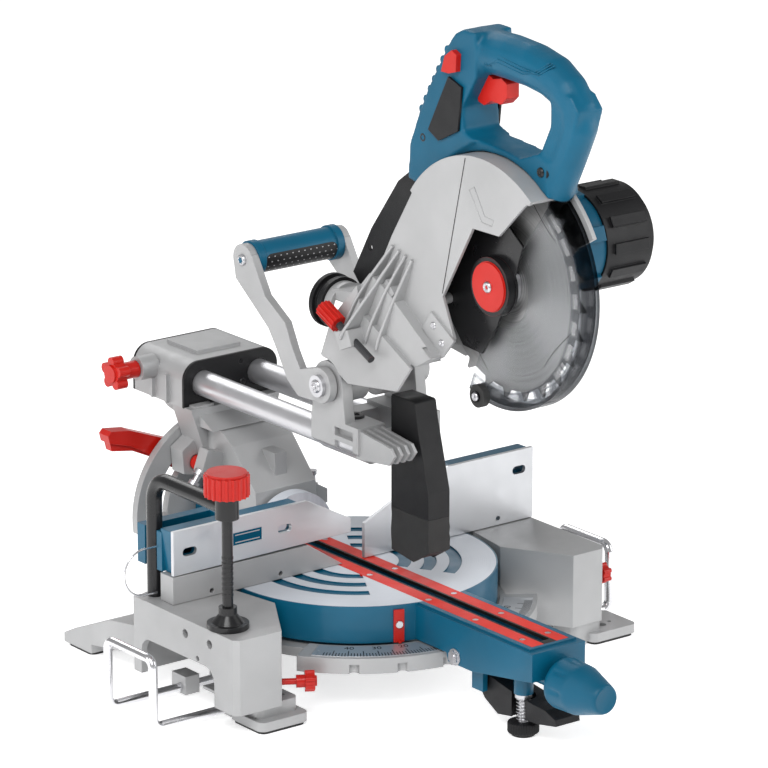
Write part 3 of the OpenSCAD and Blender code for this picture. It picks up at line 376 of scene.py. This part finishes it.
def clear_plastic(name, colour):
    """Tinted see-through plastic that turns glossy at grazing angles."""
    m = bpy.data.materials.new(name)
    m.use_nodes = True
    t = m.node_tree
    b = t.nodes["Principled BSDF"]
    coords = t.nodes.new("ShaderNodeTexCoord").outputs["Object"]
    haze = noise(t, coords, 40.0, 5.0)
    b.inputs["Base Color"].default_value = rgba(colour)
    b.inputs["Transmission Weight"].default_value = 1.0
    b.inputs["IOR"].default_value = 1.35
    link(t, ramp(t, haze, 0.3, 0.7, 0.02, 0.08), b.inputs["Roughness"])
    clear = t.nodes.new("ShaderNodeBsdfTransparent")
    link(t, guard_tint(t, coords), clear.inputs[0])
    mixed = t.nodes.new("ShaderNodeMixShader")
    fresnel = t.nodes.new("ShaderNodeLayerWeight")
    fresnel.inputs["Blend"].default_value = 0.5
    link(t, ramp(t, fresnel.outputs["Facing"], 0.35, 1.0, 0.02, 0.55), mixed.inputs[0])
    link(t, clear.outputs[0], mixed.inputs[1])
    link(t, b.outputs[0], mixed.inputs[2])
    link(t, mixed.outputs[0], t.nodes["Material Output"].inputs[0])
    return m


looks["clear"] = clear_plastic("clear_guard", (0.90, 0.93, 0.96))

LOOK_OF_NODE = {
    "base_casting": "cast", "foot_pads": "rubber", "mitre_scale": "machined", "fence_fixed": "cast",
    "fence_bolts": "steel", "left_fence_carrier": "blue_paint", "left_fence_face": "fence",
    "right_fence_carrier": "blue_paint", "right_fence_face": "machined", "wire_loop": "chrome",
    "pivot_bolt": "steel", "left_stretcher": "chrome", "right_stretcher": "chrome",
    "left_stretcher_knob": "red", "right_stretcher_knob": "red", "clamp_post": "black_metal",
    "clamp_spindle": "black_metal", "clamp_knob": "red", "clamp_pad": "black_metal", "turntable": "table",
    "kerf_inserts": "insert", "insert_screws": "steel", "mitre_pointer": "red", "arm_bolts": "steel",
    "bevel_quadrant": "cast", "bevel_pin": "steel", "arm_knob": "blue_plastic",
    "detent_lever": "black_plastic", "foot_screw": "black_plastic",
    "tower": "cast", "seal_plate": "black_plastic", "linear_bushes": "steel",
    "bevel_stop": "steel", "bevel_lever": "red", "rail_lock_knob": "red", "rails": "rail", "fork": "cast",
    "fork_screws": "black_metal", "hinge_pin": "steel", "hinge_spring": "steel", "handle_plates": "cast",
    "grip": "grip", "dust_duct": "black_plastic", "chute_skirt": "rubber", "dust_port": "black_plastic",
    "head_casting": "cast", "side_plate": "black_metal", "hub_cover": "hub", "handle": "blue_plastic",
    "handle_trim": "black_plastic", "motor_housing": "blue_plastic", "motor_cap": "black_plastic",
    "depth_stop": "depth", "trigger": "red", "lock_off": "red", "spindle": "steel", "armature": "copper",
    "blade": "blade", "lower_guard": "clear", "guard_roller": "rubber",
}
for name, look in LOOK_OF_NODE.items():
    mesh = nodes[name].data
    mesh.materials.clear()
    mesh.materials.append(looks[look])


# ------------------------------------------------------------------ building detail pieces
SIDE = Matrix(((0, 0, 1, 0), (1, 0, 0, 0), (0, 1, 0, 0), (0, 0, 0, 1)))


def add(name, body, mesh, look, replaces=(), smooth=True):
    """Puts a finished mesh, already in the row frame, on a CAD body."""
    o = bpy.data.objects.new(name, mesh)
    bpy.context.scene.collection.objects.link(o)
    mesh.materials.clear()
    mesh.materials.append(looks[look])
    if smooth:
        for face in mesh.polygons:
            face.use_smooth = True
    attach(o, body)
    if replaces:
        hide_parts(*replaces)
    return o


def evaluated(o):
    """The finished mesh of a helper object, which is then removed."""
    bpy.context.view_layer.update()
    graph = bpy.context.evaluated_depsgraph_get()
    mesh = bpy.data.meshes.new_from_object(o.evaluated_get(graph), depsgraph=graph)
    mesh.transform(o.matrix_world)
    bpy.data.objects.remove(o)
    return mesh


def slab(name, loops, x0, x1, bevel=0.0):
    """Flat plate with Y,Z outlines, in millimetres from the turntable axis, between x0 and x1."""
    curve = bpy.data.curves.new(name, "CURVE")
    curve.dimensions = "2D"
    curve.fill_mode = "BOTH"
    curve.extrude = (x1 - x0) / 2 * MM - bevel * MM
    curve.bevel_depth = bevel * MM
    curve.bevel_resolution = 3
    curve.offset = -bevel * MM
    for loop in loops:
        spline = curve.splines.new("POLY")
        spline.points.add(len(loop) - 1)
        for point, q in zip(spline.points, loop):
            point.co = (q[0] * MM, q[1] * MM, 0, 1)
        spline.use_cyclic_u = True
    o = bpy.data.objects.new(name, curve)
    bpy.context.scene.collection.objects.link(o)
    o.matrix_world = Matrix.Translation(at((x0 + x1) / 2, 0, 0)) @ SIDE
    return evaluated(o)


def tube(name, points, radius, cyclic=False, steps=5):
    """Round bar through points (x, y, z, scale) in millimetres from the turntable axis."""
    curve = bpy.data.curves.new(name, "CURVE")
    curve.dimensions = "3D"
    curve.bevel_depth = radius * MM
    curve.bevel_resolution = steps
    curve.use_fill_caps = True
    spline = curve.splines.new("POLY")
    spline.points.add(len(points) - 1)
    for point, q in zip(spline.points, points):
        point.co = (*at(*q[:3]), 1)
        point.radius = q[3] if len(q) > 3 else 1.0
    spline.use_cyclic_u = cyclic
    o = bpy.data.objects.new(name, curve)
    bpy.context.scene.collection.objects.link(o)
    return evaluated(o)


def lathe(name, profile, matrix, steps=64, ripple=None):
    """Turned piece: profile of (height, radius) in millimetres round the local Z of matrix."""
    mesh = bpy.data.meshes.new(name)
    b = bmesh.new()
    rings = []
    for h, r in profile:
        ring = []
        for i in range(steps):
            a = math.tau * i / steps
            q = r + (ripple(h, a) if ripple else 0.0)
            q = max(q, 0.01) * MM
            ring.append(b.verts.new((q * math.cos(a), q * math.sin(a), h * MM)))
        rings.append(ring)
    for lower, upper in zip(rings, rings[1:]):
        for i in range(steps):
            j = (i + 1) % steps
            b.faces.new((lower[i], lower[j], upper[j], upper[i]))
    b.faces.new(tuple(reversed(rings[0])))
    b.faces.new(tuple(rings[-1]))
    bmesh.ops.recalc_face_normals(b, faces=b.faces)
    b.to_mesh(mesh)
    b.free()
    mesh.transform(matrix)
    return mesh


def joined(name, meshes):
    mesh = bpy.data.meshes.new(name)
    b = bmesh.new()
    for part in meshes:
        b.from_mesh(part)
    b.to_mesh(mesh)
    b.free()
    return mesh


def facing(place, direction):
    """Local Z along direction, at place."""
    turn = Vector(direction).to_track_quat("Z", "Y").to_matrix().to_4x4()
    return Matrix.Translation(place) @ turn


def fused(name, meshes, voxel, rounds):
    """One soft moulded body out of overlapping closed meshes."""
    o = bpy.data.objects.new(name, joined(name, meshes))
    bpy.context.scene.collection.objects.link(o)
    remesh = o.modifiers.new("fuse", "REMESH")
    remesh.mode = "VOXEL"
    remesh.voxel_size = voxel * MM
    soften = o.modifiers.new("soften", "SMOOTH")
    soften.factor = 0.5
    soften.iterations = rounds
    return evaluated(o)


# main handle: spine, lower web over the guard, and the swelling D grip
WEB_RADIUS = 121.8
guard_arc = [(BLADE_Y + WEB_RADIUS * math.cos(math.radians(a)),
              BLADE_Z + WEB_RADIUS * math.sin(math.radians(a))) for a in range(130, 35, -4)]
spine = [(-128, 491), (-105, 494), (-108, 528), (-121, 558), (-137, 588), (-152, 611), (-164, 630),
         (-173, 641), (-185, 647), (-203, 646), (-204, 606), (-184, 575), (-186, 554), (-204, 548),
         (-150, 517)]
web = guard_arc + [(-107, 500), (-112, 540), (-150, 556), (-184, 552), (-204, 549), (-241, 546),
                   (-262, 543), (-284, 552), (-303, 546), (-300, 520)]
LOOP = [(0, -182, 628, 1.05), (0, -205, 627, 1.1), (0, -232, 627, 1.12), (0, -262, 625, 1.10),
        (0, -288, 620, 1.06), (0, -308, 610, 0.98), (0, -321, 597, 0.90), (0, -322, 580, 0.88),
        (0, -314, 562, 0.88), (0, -304, 543, 0.90), (0, -294, 525, 0.92), (0, -286, 512, 0.94)]
LEG = [(-300, 604), (-326, 612), (-338, 598), (-330, 574), (-298, 512), (-284, 503), (-268, 512),
       (-282, 545), (-300, 580)]
handle_parts = [
    slab("spine", [spine], -21.5, 21.5),
    slab("web", [web], -18, 18),
    tube("loop", LOOP, 18.5),
    slab("leg", [LEG], -15, 15),
]
handle_mesh = fused("handle_moulded", handle_parts, 1.7, 13)
# the handle stays outside the upper guard, in which the lower guard turns
for v in handle_mesh.vertices:
    out = Vector((0.0, v.co.y - BLADE.y, v.co.z - BLADE.z))
    if out.length < GUARD_OUTSIDE:
        v.co += out.normalized() * (GUARD_OUTSIDE - out.length)
add("handle_moulded", "head", handle_mesh, "blue_plastic", replaces=("handle",))

# stepped thumb rest down the rear of the handle
bars = [[(x, -120.5 - 6.1 * i, 561 + 10.2 * i) for x in (-16.5, 16.5)] for i in range(7)]
steps_mesh = joined("handle_steps", [tube("step", bar, 4.4, steps=4) for bar in bars])
add("handle_steps", "head", steps_mesh, "blue_plastic")

# three raised seams that follow the grip
for i in range(3):
    r = 19.6 + 0.25 * (i == 1)
    seam = []
    for y, a in ((-206 - 4 * i, 60), (-206 - 4 * i, 20), (-214 - 4 * i, -20), (-234, -2 + 9 * i),
                 (-268, -12 + 9 * i), (-284 - 3 * i, 12), (-296 - 3 * i, 55)):
        a = math.radians(a)
        drop = 3 * max(0.0, (-y - 262) / 30)
        seam.append((-r * math.cos(a) * 1.02, y, 626 - drop * 2 + r * math.sin(a)))
    add(f"grip_seam_{i}", "head", tube(f"grip_seam_{i}", seam, 0.55, steps=2), "blue_plastic")


def scoop(h, a):
    """Depth of the scoops round the front knob at height h and angle a."""
    band = math.exp(-((h - 16) / 8.0) ** 4)
    return -1.6 * band * max(0.0, math.cos(8 * a)) ** 3


# front knob with shallow scoops, on a bright shaft
KNOB = facing(at(0, -307.5, 62), (0, -1, 0))
knob_profile = [(0, 12), (0.3, 21.5), (2, 23.6), (5, 24.3)]
knob_profile += [(5 + 1.5 * i, 24.3 - 0.06 * i) for i in range(1, 14)]
knob_profile += [(28 + 2.6 * i, 23.4 - 0.78 * i) for i in range(12)]
knob_profile += [(58.6, 14.2), (60.6, 13.2), (61.5, 12.0), (60.9, 10.8), (60.5, 0.0)]
add("front_knob_moulded", "front_knob", lathe("front_knob_moulded", knob_profile, KNOB, 96, scoop),
    "blue_plastic", replaces=("arm_knob",))
add("front_knob_shaft", "front_knob", lathe("front_knob_shaft", [(-22, 4.9), (3, 4.9)], KNOB, 48),
    "chrome")


# screw foot: knurled black wheel, bright thread and its spring
def knurl(h, a):
    """Knurling on the rim of the foot wheel only."""
    return 0.55 * math.cos(36 * a) if 2.3 < h < 12.8 else 0.0


FOOT = Matrix.Translation(at(-8, -262, 0))
wheel = [(0, 11), (2.2, 11), (2.4, 13.4), (3.4, 14.2), (11.6, 14.2), (12.6, 13.4), (13, 0)]
add("foot_wheel", "foot", lathe("foot_wheel", wheel, FOOT, 144, knurl), "black_plastic",
    replaces=("foot_screw",))
thread = [(12 + 0.5 * i, 4.8 if i % 3 else 4.2) for i in range(104)]
add("foot_thread", "foot", lathe("foot_thread", thread, FOOT, 40), "steel")
coil = [(-8 + 6.3 * math.cos(a / 3), -262 + 6.3 * math.sin(a / 3), 14 + 0.17 * a)
        for a in range(125)]
add("foot_spring", "foot", tube("foot_spring", coil, 0.55, steps=2), "steel")


def torx(name, body, place, direction, r, look="steel"):
    """Domed screw head with a six-point recess."""
    m = facing(place, direction)
    dome = [(-1.0, r), (0, r), (r * 0.18, r * 0.93), (r * 0.32, r * 0.76), (r * 0.38, r * 0.56),
            (r * 0.16, r * 0.48), (r * 0.12, 0)]

    def star(h, a):
        return 0.08 * r * math.cos(6 * a) if h > r * 0.1 and h != r * 0.18 and h != r * 0.32 else 0.0

    add(name, body, lathe(name, dome, m, 48, star), look)


torx("screw_grip_left", "carriage", at(-59.3, 100, 379), (-1, 0, 0), 5.6)
torx("screw_grip_right", "carriage", at(59.3, 100, 379), (1, 0, 0), 5.6)
torx("screw_hinge_left", "carriage", at(-62.6, -20, 284), (-1, 0, 0), 6.5)
torx("screw_hinge_right", "carriage", at(62.6, -20, 284), (1, 0, 0), 6.5)
torx("screw_hub", "head", at(-24.6, BLADE_Y, BLADE_Z), (-1, 0, 0), 5.4)
torx("screw_roller", "roller", at(-19.4, -203, 310), (-1, 0, 0), 4.4)
torx("screw_handle_front", "head", at(-18.3, -292, 537), (-1, 0, 0), 4.6, "black_metal")
torx("screw_handle_rear", "head", at(-20.3, -128, 537), (-1, 0, 0), 4.6, "black_metal")
for i, (y, z) in enumerate(((-166, 372), (-178, 358))):
    torx(f"screw_plate_{i}", "head", at(-38.6, y, z), (-1, 0, 0), 3.6)
for i, x in enumerate((-14, 14)):
    torx(f"screw_seal_{i}", "tilt_tower", at(x, 202, 222), (0, -1, 0), 3.6, "black_metal")

# four ribs that run down the rear of the guard, each drawn tight over the casting's surface
casting = nodes["head_casting"]
# the ribs reach in to this plane, which is within the casting's wall
INSIDE_X = -28


def casting_proud(y, z):
    """How far the casting's left side stands out at y, z."""
    start = at(-150, y, z)
    hit, place, _, _ = casting.ray_cast(start, Vector((1, 0, 0)))
    return 150 - (place.x - start.x) / MM if hit else 33.0


def gusset(name, start, end, thick=3.0, stations=14, proud=1.6):
    """A fin from start to end on the casting's side, whose outer edge is drawn tight over the surface."""
    long_y, long_z = end[0] - start[0], end[1] - start[1]
    spots = [(start[0] + long_y * k / stations, start[1] + long_z * k / stations)
             for k in range(stations + 1)]
    reach = [casting_proud(y, z) + proud for y, z in spots]
    taut = []
    for k in range(stations + 1):
        spans = [reach[i] + (reach[j] - reach[i]) * (k - i) / (j - i)
                 for i in range(k + 1) for j in range(k, stations + 1) if j > i]
        taut.append(max(spans))
    crest = [(-outward, y, z) for outward, (y, z) in zip(taut, spots)]
    run = Vector((0, long_y, long_z)).normalized()
    side = Vector((0, -run.z, run.y)) * (thick / 2 * MM)
    b = bmesh.new()
    rings = []
    for x, y, z in crest:
        corners = [(at(x, y, z), -1), (at(x, y, z), 1), (at(INSIDE_X, y, z), 1), (at(INSIDE_X, y, z), -1)]
        rings.append([b.verts.new(place + side * sign) for place, sign in corners])
    for near, far in zip(rings, rings[1:]):
        for k in range(4):
            b.faces.new((near[k], near[(k + 1) % 4], far[(k + 1) % 4], far[k]))
    b.faces.new(rings[0][::-1])
    b.faces.new(rings[-1])
    bmesh.ops.recalc_face_normals(b, faces=b.faces[:])
    fin = bpy.data.meshes.new(name)
    b.to_mesh(fin)
    b.free()
    return joined(name, [fin, tube(name, crest, thick / 2, steps=2)])


for i in range(4):
    mesh = gusset(f"guard_rib_{i}", (-104 - 9.5 * i, 433 - 2.5 * i), (-50 - 16.5 * i, 345 - 3 * i))
    add(f"guard_rib_{i}", "head", mesh, "cast", smooth=False)

# the rubber skirt under the duct, pleated, on the carriage
skirt_mesh = nodes["chute_skirt"].data.copy()
b = bmesh.new()
b.from_mesh(skirt_mesh)
bmesh.ops.subdivide_edges(b, edges=b.edges[:], cuts=5, use_grid_fill=True)
skirt_top = at(0, -98, 169.8)
for v in b.verts:
    drop = (skirt_top.z - v.co.z) / MM
    v.co.x += math.copysign(0.5 * MM, v.co.x - PIVOT.x) * math.sin(drop * math.tau / 9.0)
b.to_mesh(skirt_mesh)
b.free()
skirt = add("skirt_pleated", "carriage", skirt_mesh, "rubber", replaces=("chute_skirt",))
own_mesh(skirt)

# fine line and arrow outline on the guard's flat side
line = [(-36.2, -208, 536), (-36.2, -176, 404)]
add("guard_line", "head", tube("guard_line", line, 0.35, steps=2), "black_metal")
arrow = [(-221, 512), (-236, 488), (-249, 487), (-246, 481), (-232, 482), (-214, 508)]
add("guard_arrow", "head", tube("guard_arrow", [(-36.0, y, z) for y, z in arrow], 0.5, True, 2), "cast")

# lid over the mouth of the dust duct
lid = [(-70.4, 274), (-70.4, 279.5), (-104.4, 279.5), (-105.6, 274)]
add("duct_lid", "carriage", slab("duct_lid", [lid], -12.3, 12.3, 0.8), "black_plastic")

# degree figures and ticks of the mitre scale
SCALE_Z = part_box("mitre_scale")[1].z


def numeral(name, text, size, matrix, body):
    """A raised figure of the degree scale."""
    curve = bpy.data.curves.new(name, "FONT")
    curve.body = text
    curve.size = size * MM
    curve.extrude = 0.05 * MM
    curve.align_x = "CENTER"
    curve.align_y = "CENTER"
    o = bpy.data.objects.new(name, curve)
    bpy.context.scene.collection.objects.link(o)
    o.matrix_world = matrix
    add(name, body, evaluated(o), "ink", smooth=False)


for degrees in range(-40, 41, 10):
    turn = Matrix.Rotation(math.radians(degrees), 4, "Z")
    place = Vector((PIVOT.x, PIVOT.y, SCALE_Z + 0.05 * MM))
    numeral(f"mitre_figure_{degrees + 40}", str(abs(degrees)), 9.5,
            Matrix.Translation(place) @ turn @ Matrix.Translation((0, -146 * MM, 0)), "base")
TICK_START = -167.5
TICK_HALF = 0.45
ticks = bpy.data.meshes.new("mitre_ticks")
b = bmesh.new()
for degrees in range(-48, 49):
    long = 14.0 if degrees % 5 == 0 else 8.0
    turn = Matrix.Rotation(math.radians(degrees), 4, "Z")
    outline = ((-TICK_HALF, TICK_START), (TICK_HALF, TICK_START),
               (TICK_HALF, TICK_START + long), (-TICK_HALF, TICK_START + long))
    quad = [turn @ Vector((x * MM, y * MM, 0)) for x, y in outline]
    b.faces.new([b.verts.new(q + Vector((PIVOT.x, PIVOT.y, SCALE_Z + 0.1 * MM))) for q in quad])
b.to_mesh(ticks)
b.free()
add("mitre_ticks", "base", ticks, "ink", smooth=False)

# ------------------------------------------------------------------ stage, light, camera
floor_mesh = bpy.data.meshes.new("floor")
bm = bmesh.new()
bmesh.ops.create_grid(bm, x_segments=2, y_segments=2, size=12)
bm.to_mesh(floor_mesh)
bm.free()
floor = bpy.data.objects.new("floor", floor_mesh)
floor.location.z = -0.0002
bpy.context.scene.collection.objects.link(floor)
floor_look = bpy.data.materials.new("floor_pale")
floor_look.use_nodes = True
floor_nodes = floor_look.node_tree.nodes["Principled BSDF"]
floor_nodes.inputs["Base Color"].default_value = (0.92, 0.92, 0.92, 1)
floor_nodes.inputs["Emission Color"].default_value = (1.0, 1.0, 1.0, 1)
floor_nodes.inputs["Emission Strength"].default_value = 0.55
floor_nodes.inputs["Roughness"].default_value = 0.75
floor_mesh.materials.append(floor_look)

world = bpy.data.worlds.new("studio")
bpy.context.scene.world = world
world.use_nodes = True
world.node_tree.nodes["Background"].inputs[0].default_value = (1.0, 1.0, 1.0, 1)
world.node_tree.nodes["Background"].inputs[1].default_value = 0.38


def softbox(name, place, size, power, target=Vector((0, 0, 0.25))):
    light = bpy.data.lights.new(name, "AREA")
    light.shape = "RECTANGLE"
    light.size, light.size_y = size
    light.energy = power
    o = bpy.data.objects.new(name, light)
    o.location = place
    o.rotation_mode = "QUATERNION"
    o.rotation_quaternion = (target - Vector(place)).to_track_quat("-Z", "Y")
    bpy.context.scene.collection.objects.link(o)


softbox("key", (-1.6, -1.4, 2.2), (1.6, 1.2), 58)
softbox("left_strip", (-2.2, 0.6, 0.9), (0.7, 1.8), 13)
softbox("right_fill", (1.8, -1.4, 0.9), (1.2, 1.2), 20)
softbox("rim", (0.6, 2.2, 1.8), (1.8, 0.8), 15)

cam_data = bpy.data.cameras.new("camera")
cam_data.lens = CAMERA_LENS
cam_data.sensor_width = 36.0
cam = bpy.data.objects.new("camera", cam_data)
bpy.context.scene.collection.objects.link(cam)
azimuth, elevation = math.radians(CAMERA_AZIMUTH), math.radians(CAMERA_ELEVATION)
back = Vector((math.sin(azimuth) * math.cos(elevation), -math.cos(azimuth) * math.cos(elevation),
               math.sin(elevation)))
cam.location = CAMERA_TARGET + back * CAMERA_DISTANCE
cam.rotation_mode = "QUATERNION"
cam.rotation_quaternion = (-back).to_track_quat("-Z", "Y")
cam_data.clip_start, cam_data.clip_end = 0.1, 60
bpy.context.scene.camera = cam
bpy.context.scene.view_settings.view_transform = "Standard"
